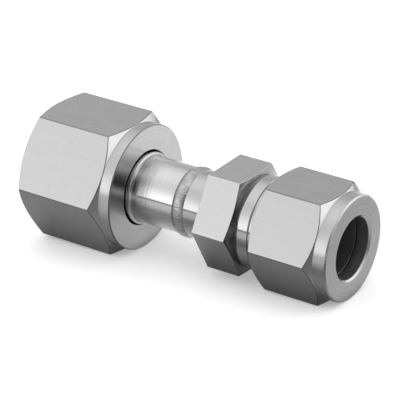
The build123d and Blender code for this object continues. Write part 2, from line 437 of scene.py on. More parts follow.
class Graph:
    """The nodes of one material or world."""

    def __init__(self, tree: bpy.types.NodeTree) -> None:
        """Empties the tree and keeps it."""
        self.tree = tree
        tree.nodes.clear()

    def node(
        self, kind: str, settings: Mapping[str, Any], inputs: Mapping[Union[str, int], Any]
    ) -> bpy.types.Node:
        """Adds a node of any type.

        Args:
            kind: The node's type.
            settings: Its properties, set before its sockets.
            inputs: A value or a link for each named or numbered input.

        Returns:
            The node.
        """
        node = self.tree.nodes.new(kind)
        for setting, choice in settings.items():
            setattr(node, setting, choice)
        for key, given in inputs.items():
            if isinstance(given, Value):
                self.tree.links.new(given.socket, node.inputs[key])
            else:
                node.inputs[key].default_value = given
        return node

    def add(
        self,
        kind: str,
        settings: Mapping[str, Any],
        inputs: Mapping[Union[str, int], Any],
        output: Union[str, int] = 0,
    ) -> Value:
        """Adds a node of any type, as node does, and gives the output that is wanted."""
        return Value(self, self.node(kind, settings, inputs).outputs[output])

    def math(self, operation: str, *terms: Term) -> Value:
        """Adds a Math node for an operation on the given terms."""
        return self.add("ShaderNodeMath", {"operation": operation}, dict(enumerate(terms)))

    def scaled(self, place: Value, scale: PerMm) -> Value:
        """Multiplies a vector by another, one component at a time."""
        inputs = {0: place, 1: scale}
        return self.add("ShaderNodeVectorMath", {"operation": "MULTIPLY"}, inputs)

    def mixed(self, share: Value, low: float, high: float) -> Value:
        """Mixes two greys.

        Args:
            share: 0 for the first grey and 1 for the second.
            low: The first grey.
            high: The second grey.

        Returns:
            The mixed colour.
        """
        inputs = {MIX_FACTOR: share, MIX_FIRST: grey(low), MIX_SECOND: grey(high)}
        return self.add("ShaderNodeMix", {"data_type": "RGBA"}, inputs, MIX_RESULT)

    def place(self) -> Value:
        """Gives the place on the piece in metres, which moves with it."""
        return self.add("ShaderNodeTexCoord", {}, {}, "Object")

    def axes(self, place: Value) -> tuple[Value, Value, Value]:
        """Splits a place into its X, Y and Z."""
        outputs = self.node("ShaderNodeSeparateXYZ", {}, {0: place}).outputs
        return Value(self, outputs["X"]), Value(self, outputs["Y"]), Value(self, outputs["Z"])

    def grain(self, place: Value, per_mm: PerMm, detail: float = SOFT) -> Value:
        """Adds soft random grain.

        Args:
            place: Where it is looked up, in metres.
            per_mm: How many grains a millimetre holds along each axis.
            detail: How much finer grain lies in it.

        Returns:
            A value from about 0.2 to 0.8.
        """
        spread = self.scaled(place, tuple(count / MM for count in per_mm))
        inputs = {"Vector": spread, "Scale": 1.0, "Detail": detail}
        inputs["Roughness"] = GRAIN_HARSHNESS
        return self.add("ShaderNodeTexNoise", {}, inputs)

    def bands(self, feed: Value, per_mm: float, detail: float = PLAIN) -> Value:
        """Adds random bands across a feed that is in millimetres."""
        inputs = {"W": feed * per_mm, "Scale": 1.0, "Detail": detail, "Roughness": BAND_HARSHNESS}
        return self.add("ShaderNodeTexNoise", {"noise_dimensions": "1D"}, inputs)

    def bumped(self, height: Value, depth_mm: float) -> Value:
        """Turns a height of 0 to 1 into a normal for a relief of that depth."""
        inputs = {"Height": height, "Distance": depth_mm * MM, "Strength": 1.0}
        return self.add("ShaderNodeBump", {}, inputs)


def grey(level: float) -> tuple[float, float, float, float]:
    """Gives an opaque grey."""
    return level, level, level, 1.0


# Finishes


Pattern = tuple[Value, Value, Value]
GRAIN_RANGE = (0.3, 0.7)
PATCH_RANGE = (0.35, 0.65)
MOSTLY, HALF = 0.6, 0.5


def blended(first: Value, second: Value, share: float) -> Value:
    """Adds two values, the first by its share and the second by the rest."""
    return first * share + second * (1 - share)


@dataclass(frozen=True)
class Finish:
    """A finish of bare stainless steel.

    Args:
        name: The material's name.
        dark: The metal's grey where it is dullest.
        light: The metal's grey where it is brightest.
        smooth: The roughness where it is smoothest.
        rough: The roughness where it is roughest.
        depth: The depth of its relief.
        clouds: How many clouds of tone a millimetre holds along each axis.
    """

    name: str
    dark: float
    light: float
    smooth: float
    rough: float
    depth: float
    clouds: PerMm = (0.5, 0.5, 0.5)

    def pattern(self, graph: Graph, place: Value) -> Pattern:
        """Works out how the finish changes over a piece.

        Args:
            graph: The material's nodes.
            place: The place on the piece in metres.

        Returns:
            The tone, the roughness and the height, each from 0 to 1.
        """
        cloud = graph.grain(place, self.clouds)
        return cloud, cloud, cloud

    def material(self) -> bpy.types.Material:
        """Makes the material.

        Returns:
            The material, with its tone, roughness and relief over the surface.
        """
        made = bpy.data.materials.new(self.name)
        made.use_nodes = True
        graph = Graph(made.node_tree)
        tone, polish, height = self.pattern(graph, graph.place())
        inputs = {
            "Base Color": graph.mixed(tone, self.dark, self.light),
            "Metallic": 1.0,
            "Roughness": self.smooth + polish * (self.rough - self.smooth),
            "Normal": graph.bumped(height, self.depth),
        }
        shader = graph.add("ShaderNodeBsdfPrincipled", {}, inputs)
        graph.node("ShaderNodeOutputMaterial", {}, {"Surface": shader})
        return made


@dataclass(frozen=True)
class DrawnFinish(Finish):
    """Flats of cold-drawn bar: faint lines along the axis in an even satin.

    Args:
        lines: How many lines a millimetre holds along each axis.
        grains: How many fine grains it holds.
    """

    clouds: PerMm = (0.35, 0.5, 0.5)
    lines: PerMm = (0.06, 3.2, 3.2)
    grains: PerMm = (6.0, 9.0, 9.0)

    def pattern(self, graph: Graph, place: Value) -> Pattern:
        """Lays lines along the bar, clouds and fine grain.

        Args:
            graph: The material's nodes.
            place: The place on the piece in metres.

        Returns:
            The tone, the roughness and the height, each from 0 to 1.
        """
        lines = graph.grain(place, self.lines)
        cloud = graph.grain(place, self.clouds)
        grain = graph.grain(place, self.grains, FINE)
        tone = blended(cloud, lines, MOSTLY).stretched(*GRAIN_RANGE)
        polish = blended(cloud, grain, HALF).stretched(*GRAIN_RANGE)
        return tone, polish, blended(lines, grain, MOSTLY)


@dataclass(frozen=True)
class TurnedFinish(Finish):
    """A turned surface: one fine spiral groove, with broader rings of tone.

    Args:
        feed: The way that the tool went.
        groove: The pitch of the groove.
        ring: The width of a ring.
    """

    clouds: PerMm = (0.3, 0.3, 0.3)
    feed: Feed = Feed.ALONG
    groove: float = 0.14
    ring: float = 0.55

    def pattern(self, graph: Graph, place: Value) -> Pattern:
        """Cuts the groove and lays rings of tone beside it.

        Args:
            graph: The material's nodes.
            place: The place on the piece in metres.

        Returns:
            The tone, the roughness and the height, each from 0 to 1.
        """
        along, across, up = graph.axes(place)
        radius = graph.math("SQRT", across * across + up * up)
        feed = (along if self.feed is Feed.ALONG else radius) / MM
        angle = graph.math("ARCTAN2", up, across)
        wave = graph.math("SINE", feed * (tau / self.groove) - angle) * 0.5 + 0.5
        rings = graph.bands(feed, 1 / self.ring, FINE)
        fine = graph.bands(feed, 1 / self.groove)
        tone = blended(rings, graph.grain(place, self.clouds), MOSTLY).stretched(*GRAIN_RANGE)
        polish = blended(rings, fine, HALF).stretched(*GRAIN_RANGE)
        return tone, polish, blended(fine, wave, MOSTLY)


@dataclass(frozen=True)
class WeldFinish(Finish):
    """Weld metal as it set: uneven and dull, with a fine crust.

    Args:
        crust: How many grains of crust a millimetre holds along each axis.
    """

    clouds: PerMm = (0.9, 0.9, 0.9)
    crust: PerMm = (5.0, 5.0, 5.0)

    def pattern(self, graph: Graph, place: Value) -> Pattern:
        """Lays patches of tone and a fine crust.

        Args:
            graph: The material's nodes.
            place: The place on the piece in metres.

        Returns:
            The tone, the roughness and the height, each from 0 to 1.
        """
        patches = graph.grain(place, self.clouds, PATCHY)
        crust = graph.grain(place, self.crust, FINE)
        tone, polish = patches.stretched(*PATCH_RANGE), crust.stretched(*GRAIN_RANGE)
        return tone, polish, blended(crust, patches, MOSTLY)


DRAWN = DrawnFinish("drawn_flat", 0.405, 0.425, 0.24, 0.29, 0.0006)
DRAWN_BODY = DrawnFinish("drawn_body_flat", 0.435, 0.455, 0.24, 0.29, 0.0006)
FACED = TurnedFinish("faced_steel", 0.385, 0.43, 0.16, 0.24, 0.0006, feed=Feed.ACROSS)
TURNED = TurnedFinish("turned_steel", 0.4, 0.43, 0.1, 0.14, 0.0014, groove=0.09)
BORED = TurnedFinish("bored_steel", 0.34, 0.4, 0.38, 0.5, 0.002, groove=0.2)
THREAD = TurnedFinish("thread_steel", 0.36, 0.42, 0.16, 0.28, 0.0015, groove=0.09)
POLISHED = TurnedFinish("polished_steel", 0.49, 0.52, 0.06, 0.1, 0.006, groove=0.07)
SATIN = TurnedFinish("satin_steel", 0.4, 0.43, 0.24, 0.3, 0.0014, groove=0.09)
# Painted shade: a much darker grey on the relief beside the body's hexagon, for the shade and
# dark reflection in that hollow.
PAINTED_RELIEF_SHADE = TurnedFinish("painted_relief_shade_steel", 0.18, 0.25, 0.2, 0.3, 0.0014, groove=0.09)
WELD = WeldFinish("weld_metal", 0.34, 0.44, 0.3, 0.42, 0.012)
# Painted shade: a dark grey on the nuts' hexagon corners, on their edge between flats and rear
# chamfer, and on the seal nut's rim, for the dark lines that light draws along those edges.
PAINTED_EDGE_SHADE = Finish("painted_edge_shade", 0.12, 0.2, 0.3, 0.4, 0.0005)
# Painted highlight: a lighter grey on the body hexagon's corners, for the bright lines along
# those edges.
PAINTED_EDGE_HIGHLIGHT = Finish("painted_edge_highlight", 0.5, 0.58, 0.2, 0.3, 0.0005)

# The finishes of each kind of piece, in the order of Surface. The body's fifth is painted
# highlight and its sixth painted shade; a nut's fifth is painted shade.
GLAND_FINISHES = (DRAWN, FACED, POLISHED, BORED)
BODY_FINISHES = (DRAWN_BODY, FACED, TURNED, BORED, PAINTED_EDGE_HIGHLIGHT, PAINTED_RELIEF_SHADE)
NUT_FINISHES = (DRAWN, FACED, SATIN, BORED, PAINTED_EDGE_SHADE)
FERRULE_FINISHES = (DRAWN, FACED, TURNED, BORED)
ONLY_SLOT = Surface.DRAWN


# The fitting's pieces


@cache
def node_box(node: str) -> tuple[Vector, Vector]:
    """Gives a node's lowest and highest corners in millimetres."""
    low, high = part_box(node)
    return low / MM, high / MM


@dataclass
class SubAssembly:
    """Pieces that move together.

    Args:
        body: The body that they ride on.
    """

    body: str

    def dress(self, piece: bpy.types.Object, finishes: Sequence[Finish]) -> None:
        """Gives a piece its finishes.

        Args:
            piece: The piece.
            finishes: Its finishes, in the order of its material slots.
        """
        for finish in finishes:
            material = bpy.data.materials.get(finish.name) or finish.material()
            piece.data.materials.append(material)

    def place(self, piece: bpy.types.Object, slot: str, *nodes: str) -> None:
        """Fixes a piece to the body and hides the CAD nodes that it replaces.

        Args:
            piece: The piece.
            slot: The record's material slot; not used.
            nodes: The CAD nodes that it replaces.
        """
        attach(piece, self.body)
        if nodes:
            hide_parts(*nodes)
        LOG.info("%s rides on %s with %d faces", piece.name, self.body, len(piece.data.polygons))


@dataclass(frozen=True)
class WeldRun:
    """The weld round the stem, with the ripples that it set in.

    Args:
        stem: The radius of the gland's stem, at its first toe.
        neck: The radius of the body's neck, at its other toe.
        bore: The radius of the bore that its root stands in.
        overlap: How far it reaches over the pieces that it joins.
        sink: How far its toes lie below their surfaces.
        fullness: The power that rounds its crown, lower for a fuller one.
        bow: How far the ripples' ends lag behind their middle, in ripples.
        drift: How far they drift from an even pitch, in ripples.
        rise: The share of a ripple that rises.
        middle: The share of a ripple's height that lies below the smooth crown.
        ripple_fade: How fast the ripples grow from a toe.
        uneven_fade: How fast the unevenness grows from a toe.
        toe_lumps: How finely the toes' wander varies round the axis.
        drift_lumps: How finely the drift varies there.
        crown_lumps: How finely the unevenness varies, along the weld and round it.
        other_toe: How far apart the two toes' wanders are looked up.
        toe_power: How closely the wander keeps to the toes.
    """

    stem: float
    neck: float
    bore: float
    rows: int = 30
    root_rows: int = 8
    overlap: float = 0.03
    sink: float = 0.12
    fullness: float = 0.7
    root_rise: float = 0.12
    toe_wander: float = 0.1
    pitch: float = 0.62
    height: float = 0.05
    bow: float = 1.1
    drift: float = 0.5
    rise: float = 0.75
    middle: float = 0.4
    unevenness: float = 0.5
    ripple_fade: float = 2.2
    uneven_fade: float = 3.0
    toe_lumps: float = 9.0
    drift_lumps: float = 6.0
    crown_lumps: tuple[float, float] = (2.2, 13.0)
    other_toe: float = 5.0
    toe_power: int = 3

    def ripples(self, outward: Vector, laid: float, place: float, swell: float) -> float:
        """Works out how far the crown stands off its smooth form.

        Args:
            outward: The unit vector from the axis to the place.
            laid: How many ripples lie before it.
            place: Its place along the axis, from -1 at one toe to 1 at the other.
            swell: The crown's own swell there, from 0 at the toes to 1.

        Returns:
            That height in ripple heights.
        """
        drift = self.drift * noise.noise(outward * self.drift_lumps)
        share = (laid + self.bow * place * place + drift) % 1.0
        ripple = share if share < self.rise else (1 - share) * self.rise / (1 - self.rise)
        lumps_along, lumps_round = self.crown_lumps
        lump = Vector((place * lumps_along, 0, 0)) + outward * lumps_round
        uneven = self.unevenness * noise.noise(lump) * min(1.0, swell * self.uneven_fade)
        return (ripple - self.middle) * min(1.0, swell * self.ripple_fade) + uneven

    def outline(self, angle: float) -> list[Corner]:
        """Outlines the weld: crown with ripples, toes that wander, and the root.

        Args:
            angle: The angle about the axis.

        Returns:
            The corners of its closed outline.
        """
        low, high = node_box("weld_bead")
        centre, half = (low.x + high.x) / 2, (high.x - low.x) / 2
        crown = high.z - self.height / 2
        outward = Vector((0, cos(angle), sin(angle)))
        corners = []
        for row in range(self.rows + 1):
            place = 2 * row / self.rows - 1
            side = Vector((self.other_toe * (place > 0), 0, 0))
            wander = self.toe_wander * noise.noise(outward * self.toe_lumps + side)
            along = centre + place * (half + self.overlap) + wander * abs(place) ** self.toe_power
            toe = (self.stem if place < 0 else self.neck) - self.sink
            swell = max(0.0, 1 - place * place)
            ripples = self.ripples(outward, angle * crown / self.pitch, place, swell)
            radius = toe + (crown - toe) * swell**self.fullness + self.height * ripples
            corners.append(Corner(along, radius, ONLY_SLOT, 0, 0))
        for row in range(self.root_rows + 1):
            place = 1 - 2 * row / self.root_rows
            radius = self.bore - self.root_rise * (1 - place * place)
            corners.append(Corner(centre + place * half, radius, ONLY_SLOT, 0, 0))
        return corners


@dataclass
class WeldedBody(SubAssembly):
    """The gland, the weld and the connector body, which are one body."""

    bore: float = 5.15
    bore_edge: float = 0.25
    bead_inner: float = 5.85
    bead_outer: float = 7.75
    bead_rise: float = 0.4
    bead_steps: int = 24
    head_thickness: float = 3.1
    head_edge: float = 0.3
    shoulder: float = 7.7
    shoulder_end: float = 8.2
    shoulder_fillet: float = 0.6
    fillet_steps: int = 16
    stem: float = 7.1
    weld_segments: int = 900
    weld_sharp: float = radians(50)
    neck: float = 7.15
    neck_length: float = 5.3
    neck_root: float = 0.12
    hex_length: float = 8.1
    front_break: float = 0.12
    rear_break: float = 0.09
    chamfer_angle: float = 15
    relief_depth: float = 0.4
    relief_length: float = 1.25
    relief_root: float = 0.15
    relief_root_steps: int = 5
    relief_break: float = 0.08
    collar: float = 9.801
    collar_length: float = 3.67
    collar_edge: float = 0.25
    ring_length: float = 0.68
    end_edge: float = 0.45
    end_angle: float = 30
    mouth: float = 7.751
    mouth_depth: float = 3.63
    socket: float = 6.43
    socket_depth: float = 12.95
    thread: ThreadRidge = ThreadRidge(1.27, 8.701, 9.5, 1.07, 0.17, 0.9, 0.6, ahead=0.0)

    def gland_outline(self) -> list[Corner]:
        """Outlines the gland: bead, head, shoulder, fillet and stem.

        Returns:
            The corners of its closed outline.
        """
        high = node_box("gland")[1]
        face, back = self.bead_rise, self.bead_rise + self.head_thickness
        faced, turned = Surface.FACED, Surface.TURNED
        middle = (self.bead_inner + self.bead_outer) / 2
        half = (self.bead_outer - self.bead_inner) / 2
        arc = (half * half + self.bead_rise**2) / (2 * self.bead_rise)
        limit = atan2(half, arc - self.bead_rise)
        corners = [Corner(face, self.bead_inner, faced, SHARP_BREAK)]
        for step in range(1, self.bead_steps):
            lean = limit * (2 * step / self.bead_steps - 1)
            corners.append(Corner(arc - arc * cos(lean), middle + arc * sin(lean), faced, 0, 0))
        corners += [
            Corner(face, self.bead_outer, faced, SHARP_BREAK),
            Corner(face, high.z - self.head_edge, faced),
            Corner(face + self.head_edge, high.z, turned),
            Corner(back - self.head_edge, high.z, faced),
            Corner(back, high.z - self.head_edge, faced),
            Corner(back, self.shoulder, turned),
        ]
        for step in range(self.fillet_steps):
            lean = step / self.fillet_steps * pi / 2
            along = self.shoulder_end + self.shoulder_fillet * (1 - cos(lean))
            radius = self.shoulder - self.shoulder_fillet * sin(lean)
            corners.append(Corner(along, radius, faced, 0, 0))
        corners += [
            Corner(self.shoulder_end + self.shoulder_fillet, self.stem, turned, 0, 0),
            Corner(high.x, self.stem, faced, JOINT_BREAK),
            Corner(high.x, self.bore, Surface.BORED, JOINT_BREAK),
            Corner(face + self.bore_edge, self.bore, faced),
            Corner(face, self.bore + self.bore_edge, faced),
        ]
        return corners

    def ring_end(self) -> float:
        """Gives the end of the plain ring, where the threaded wall starts."""
        hex_end = node_box("connector_body")[0].x + self.neck_length + self.hex_length
        return hex_end + self.collar_length + self.ring_length

    def body_outline(self, reach: float) -> list[Corner]:
        """Outlines the connector body: neck, hexagon, relief, collar, ring, wall and socket.

        Args:
            reach: The hexagon's distance from the axis.

        Returns:
            The corners of its closed outline.
        """
        low, high = node_box("connector_body")
        faced, turned, bored = Surface.FACED, Surface.TURNED, Surface.BORED
        neck_end = low.x + self.neck_length
        hex_end = neck_end + self.hex_length
        flat_end = hex_end - (reach - self.collar) * tan(radians(self.chamfer_angle))
        relief_floor = self.collar - self.relief_depth
        collar_end = hex_end + self.collar_length
        ring, ring_end = self.collar - self.collar_edge, self.ring_end()
        wall_end = high.x - self.end_edge * tan(radians(self.end_angle))
        socket_end = high.x - self.socket_depth
        root, relief_steps = self.thread.wall, self.relief_root_steps
        return [
            Corner(low.x, self.bore, faced, JOINT_BREAK),
            Corner(low.x, self.neck, turned, JOINT_BREAK),
            Corner(neck_end, self.neck, faced, self.neck_root),
            Corner(neck_end, reach, Surface.DRAWN, self.front_break),
            Corner(flat_end, reach, faced, self.rear_break),
            Corner(hex_end, self.collar, faced, SHARP_BREAK),
            # The relief's band is painted with the darker grey of painted shade.
            Corner(hex_end, relief_floor, Surface.UNDERCUT, self.relief_root, relief_steps),
            Corner(hex_end + self.relief_length, self.collar, turned, self.relief_break),
            Corner(collar_end - self.collar_edge, self.collar, faced, FINE_BREAK),
            Corner(collar_end, ring, turned, FINE_BREAK),
            Corner(ring_end, ring, faced, FINE_BREAK),
            Corner(ring_end, root, turned, FINE_BREAK),
            Corner(wall_end, root, faced),
            Corner(high.x, root - self.end_edge, faced),
            Corner(high.x, self.mouth, bored),
            Corner(high.x - self.mouth_depth, self.socket, bored),
            Corner(socket_end, self.socket, faced),
            Corner(socket_end, self.bore, bored),
        ]

    def build(self) -> None:
        """Makes the gland, the weld, the connector body and its thread."""
        profile = self.gland_outline()
        gland = turn_piece("gland_turning", RoundBar(), lambda angle, reach: profile)
        self.dress(gland, GLAND_FINISHES)
        self.place(gland, "gland_steel", "gland")
        run = WeldRun(self.stem, self.neck, self.bore)
        bar, laid = RoundBar(self.weld_segments), lambda angle, reach: run.outline(angle)
        weld = turn_piece("weld_ripples", bar, laid, self.weld_sharp)
        self.dress(weld, (WELD,))
        self.place(weld, "weld_steel", "weld_bead")
        low, high = node_box("connector_body")
        bar, turned = HexBar(high.z - low.z), lambda angle, reach: self.body_outline(reach)
        hexagon = turn_piece("body_turning", bar, turned)
        self.dress(hexagon, BODY_FINISHES)
        self.place(hexagon, "body_steel", "connector_body")
        thread = self.thread.build("body_thread", self.ring_end(), high.x)
        self.dress(thread, (THREAD,))
        self.place(thread, "body_steel")


@dataclass
class FerruleSet(SubAssembly):
    """The two ferrules, which grip the tube."""

    bore: float = 6.45
    front_nose: float = 6.8
    front_cone_length: float = 2.88
    recess: float = 7.47
    back_tip: float = 6.75
    back_nose: float = 7.3
    flange_length: float = 1.92
    edge: float = 0.04

    def front_outline(self) -> list[Corner]:
        """Outlines the front ferrule: nose cone, rim and recess.

        Returns:
            The corners of its closed outline.
        """
        low, high = node_box("front_ferrule")
        recess_start = high.x - (self.recess - self.bore)
        return [
            Corner(low.x, self.bore, Surface.FACED, self.edge),
            Corner(low.x, self.front_nose, Surface.TURNED, self.edge),
            Corner(low.x + self.front_cone_length, high.z, Surface.TURNED, self.edge),
            Corner(high.x, high.z, Surface.FACED, self.edge),
            Corner(high.x, self.recess, Surface.BORED, self.edge),
            Corner(recess_start, self.bore, Surface.BORED, self.edge),
        ]

    def back_outline(self) -> list[Corner]:
        """Outlines the back ferrule: nose, flange and driven cone.

        Returns:
            The corners of its closed outline.
        """
        low, high = node_box("back_ferrule")
        flange_start = low.x + self.back_nose - self.back_tip
        return [
            Corner(low.x, self.bore, Surface.FACED, self.edge),
            Corner(low.x, self.back_tip, Surface.TURNED, self.edge),
            Corner(flange_start, self.back_nose, Surface.FACED, self.edge),
            Corner(flange_start, high.z, Surface.TURNED, self.edge),
            Corner(flange_start + self.flange_length, high.z, Surface.TURNED, self.edge),
            Corner(high.x, self.back_tip, Surface.FACED, self.edge),
            Corner(high.x, self.bore, Surface.BORED, self.edge),
        ]

    def build(self) -> None:
        """Makes both ferrules."""
        profiles = {"front_ferrule": self.front_outline(), "back_ferrule": self.back_outline()}
        for node, profile in profiles.items():
            ferrule = turn_piece(f"{node}_turning", RoundBar(), lambda angle, reach: profile)
            self.dress(ferrule, FERRULE_FINISHES)
            self.place(ferrule, "ferrule_steel", node)


@dataclass
class HexNut(SubAssembly):
    """A hexagon nut with a turned collar, and a thread that starts in its mouth.

    Args:
        node: The CAD node that it replaces.
        slot: The record's material slot.
        thread: The thread's ridge.
        face_inset: How far the mouth's face lies inside the flats.
        face_break: The break of that face's rim.
        front_angle: The angle of the chamfer at the mouth, in degrees.
        front_break: The break where that chamfer meets the flats.
        rear_angle: The angle of the chamfer at the collar, in degrees.
        rear_break: The break where that chamfer meets the flats.
        collar_inset: How far the collar lies inside the flats.
        rim: The surface of the collar's edge.
        rim_edge: The size of that edge.
        rim_breaks: The breaks of its two corners.
        hole_edge: The size of the hole's edge.
        hole_break: The break of its two corners.
        mouth_edge: The size of the thread's lead-in.
    """

    node: str
    slot: str
    thread: ThreadRidge
    face_inset: float
    face_break: float
    front_angle: float
    front_break: float
    rear_angle: float
    rear_break: float
    collar_length: float
    collar_inset: float
    rim: Surface
    rim_edge: float
    rim_breaks: tuple[float, float]
    hole: float
    hole_edge: float
    hole_break: float
    mouth_edge: float

    def wall_end(self) -> float:
        """Gives the end of the wall that the thread stands on."""
        raise NotImplementedError

    def inside(self) -> list[Corner]:
        """Outlines the nut's inside, from its hole to the end of the threaded wall."""
        raise NotImplementedError

    def outline(self, reach: float) -> list[Corner]:
        """Outlines the nut from its mouth round its outside and back through its hole.

        Args:
            reach: The hexagon's distance from the axis.

        Returns:
            The corners of its closed outline.
        """
        low, high = node_box(self.node)
        faced, bored = Surface.FACED, Surface.BORED
        face, collar = high.z - self.face_inset, high.z - self.collar_inset
        flat_start = low.x + (reach - face) * tan(radians(self.front_angle))
        collar_start = high.x - self.collar_length
        flat_end = collar_start - (reach - collar) * tan(radians(self.rear_angle))
        rim_start, rim_end = self.rim_breaks
        wall = self.thread.wall
        return [
            Corner(low.x, face, faced, self.face_break),
            Corner(flat_start, reach, Surface.DRAWN, self.front_break),
            # This rounding takes the edge slot: a nut's painted shade line.
            Corner(flat_end, reach, faced, self.rear_break, rounding=Surface.EDGE),
            Corner(collar_start, collar, Surface.TURNED, FACE_BREAK),
            Corner(high.x - self.rim_edge, collar, self.rim, rim_start),
            Corner(high.x, collar - self.rim_edge, faced, rim_end),
            Corner(high.x, self.hole + self.hole_edge, faced, self.hole_break),
            Corner(high.x - self.hole_edge, self.hole, bored, self.hole_break),
            *self.inside(),
            Corner(self.wall_end(), wall, bored, FINE_BREAK),
            Corner(low.x + self.mouth_edge, wall, faced, FINE_BREAK),
            Corner(low.x, wall + self.mouth_edge, faced, FINE_BREAK),
        ]

    def build(self) -> None:
        """Makes the nut and its thread."""
        low, high = node_box(self.node)
        bar, turned = HexBar(high.z - low.z), lambda angle, reach: self.outline(reach)
        nut = turn_piece(f"{self.node}_turning", bar, turned)
        self.dress(nut, NUT_FINISHES)
        self.place(nut, self.slot, self.node)
        thread = self.thread.build(f"{self.node}_thread", low.x, self.wall_end())
        self.dress(thread, (THREAD,))
        self.place(thread, self.slot)

    def foot(self) -> tuple[float, float]:
        """Gives the place along the axis and the height of the collar's lowest edge."""
        low, high = node_box(self.node)
        return high.x - self.rim_edge, low.z + self.collar_inset


@dataclass
class TubeNut(HexNut):
    """The compression nut on the tube end, whose ridge lies between the turns of the body's."""

    node: str = "tube_nut"
    slot: str = "tube_nut_steel"
    thread: ThreadRidge = ThreadRidge(1.27, 9.606, 8.86, 1.04, 0.2, 1.2, 0.8, ahead=0.5)
    face_inset: float = 0.36
    face_break: float = FACE_BREAK
    front_angle: float = 30
    front_break: float = 0.09
    rear_angle: float = 34
    rear_break: float = 0.1
    collar_length: float = 2.9
    collar_inset: float = 0.11
    rim: Surface = Surface.FACED
    rim_edge: float = 0.32
    rim_breaks: tuple[float, float] = (FACE_BREAK, 0.08)
    hole: float = 6.5
    hole_edge: float = 0.4
    hole_break: float = FACE_BREAK
    mouth_edge: float = 0.55
    land_length: float = 2.85
    cavity: float = 8.148
    thread_length: float = 9.6

    def wall_end(self) -> float:
        """Gives the end of the threaded wall, where the cavity starts."""
        return node_box(self.node)[0].x + self.thread_length

    def inside(self) -> list[Corner]:
        """Outlines the drive cone and the cavity.

        Returns:
            Their corners, from the hole to the end of the threaded wall.
        """
        drive_end = node_box(self.node)[1].x - self.land_length
        drive_start = drive_end - (self.cavity - self.hole)
        return [
            Corner(drive_end, self.hole, Surface.BORED, FINE_BREAK),
            Corner(drive_start, self.cavity, Surface.BORED, FINE_BREAK),
            Corner(self.wall_end(), self.cavity, Surface.FACED, FINE_BREAK),
        ]


@dataclass
class FaceSealNut(HexNut):
    """The loose nut that pulls the gland against its mate."""

    node: str = "face_seal_nut"
    slot: str = "seal_nut_steel"
    thread: ThreadRidge = ThreadRidge(1.814, 11.1125, 10.15, 1.5, 0.42, 1.4, 0.6)
    face_inset: float = 0.4
    face_break: float = EDGE_BREAK
    front_angle: float = 30
    front_break: float = 0.1
    rear_angle: float = 30
    rear_break: float = 0.11
    collar_length: float = 2.6
    collar_inset: float = 0.1
    # The rim takes the edge slot, which paints a shade line round the collar's edge.
    rim: Surface = Surface.EDGE
    rim_edge: float = 0.2
    rim_breaks: tuple[float, float] = (SHARP_BREAK, SHARP_BREAK)
    hole: float = 8.02
    hole_edge: float = 0.15
    hole_break: float = FINE_BREAK
    mouth_edge: float = 0.49
    back_wall: float = 3.9
    relief: float = 11.5025
    relief_length: float = 6.0

    def wall_end(self) -> float:
        """Gives the end of the threaded wall, where the relief starts."""
        return node_box(self.node)[1].x - self.back_wall - self.relief_length

    def inside(self) -> list[Corner]:
        """Outlines the seat for the gland's head and the relief.

        Returns:
            Their corners, from the hole to the end of the threaded wall.
        """
        seat = node_box(self.node)[1].x - self.back_wall
        relief_start = self.wall_end() + self.relief - self.thread.wall
        return [
            Corner(seat, self.hole, Surface.FACED, FINE_BREAK),
            Corner(seat, self.relief, Surface.BORED, FINE_BREAK),
            Corner(relief_start, self.relief, Surface.BORED, FINE_BREAK),
        ]


# The studio


def direction(azimuth: float, elevation: float) -> Vector:
    """Gives the unit vector out to an azimuth from -Y towards +X and an elevation, in degrees."""
    turn, rise = radians(azimuth), radians(elevation)
    return Vector((sin(turn) * cos(rise), -cos(turn) * cos(rise), sin(rise)))


@dataclass(frozen=True)
class Glow:
    """A broad soft light in the studio's tent, brightest at its middle.

    Args:
        azimuth: The direction of its middle, in degrees from -Y towards +X.
        elevation: The elevation of its middle, in degrees.
        spread: How far it reaches from its middle, in degrees.
        level: How much brighter than the tent its middle is, where 1 is white.
        fall: The power by which it fades from its middle.
    """

    azimuth: float
    elevation: float
    spread: float
    level: float
    fall: float = 2.0

    def brightness(self, graph: Graph, ray: Value) -> Value:
        """Adds the glow's brightness along a ray of the world.

        Args:
            graph: The world's nodes.
            ray: The ray's direction.

        Returns:
            What the glow adds to the tent's level there.
        """
        inputs = {0: ray, 1: tuple(direction(self.azimuth, self.elevation))}
        facing = graph.add("ShaderNodeVectorMath", {"operation": "DOT_PRODUCT"}, inputs, "Value")
        edge = cos(radians(self.spread))
        share = graph.math("MAXIMUM", (facing - edge) / (1 - edge), 0.0)
        return graph.math("POWER", share, self.fall) * self.level


@dataclass(frozen=True)
class Span:
    """A stretch along one direction, with soft ends.

    Args:
        start: Where it starts to fade in and where it is full, if it has a start.
        end: Where it starts to fade out and where it is gone, if it has an end.
    """

    start: Optional[tuple[float, float]] = None
    end: Optional[tuple[float, float]] = None

    def shares(self, place: Value) -> list[Value]:
        """Gives a value for each end that it has, 1 inside the stretch and 0 beyond that end."""
        rise = [place.stretched(*self.start)] if self.start else []
        return rise + ([1 - place.stretched(*self.end)] if self.end else [])


@dataclass(frozen=True)
class CardTone:
    """A part of the grey card that is lighter or darker than the rest: painted light and painted
    shade for the steel to mirror.

    Args:
        level: What it adds to the card's grey, or the share of it that it takes away.
        along: Its stretch along the fitting.
        across: Its stretch across it, from front to back.
        beside: Its stretch out from the axis on both sides.
    """

    level: float
    along: Span = Span()
    across: Span = Span()
    beside: Span = Span()

    def strength(self, along: Value, across: Value, beside: Value) -> Value:
        """Gives its level where it is full, fading to 0 outside it.

        Args:
            along: The place along the fitting in millimetres.
            across: The place across it.
            beside: The distance from its axis.

        Returns:
            The level at that place.
        """
        shares = self.along.shares(along) + self.across.shares(across)
        strength = self.level
        for share in shares + self.beside.shares(beside):
            strength = share * strength
        return strength


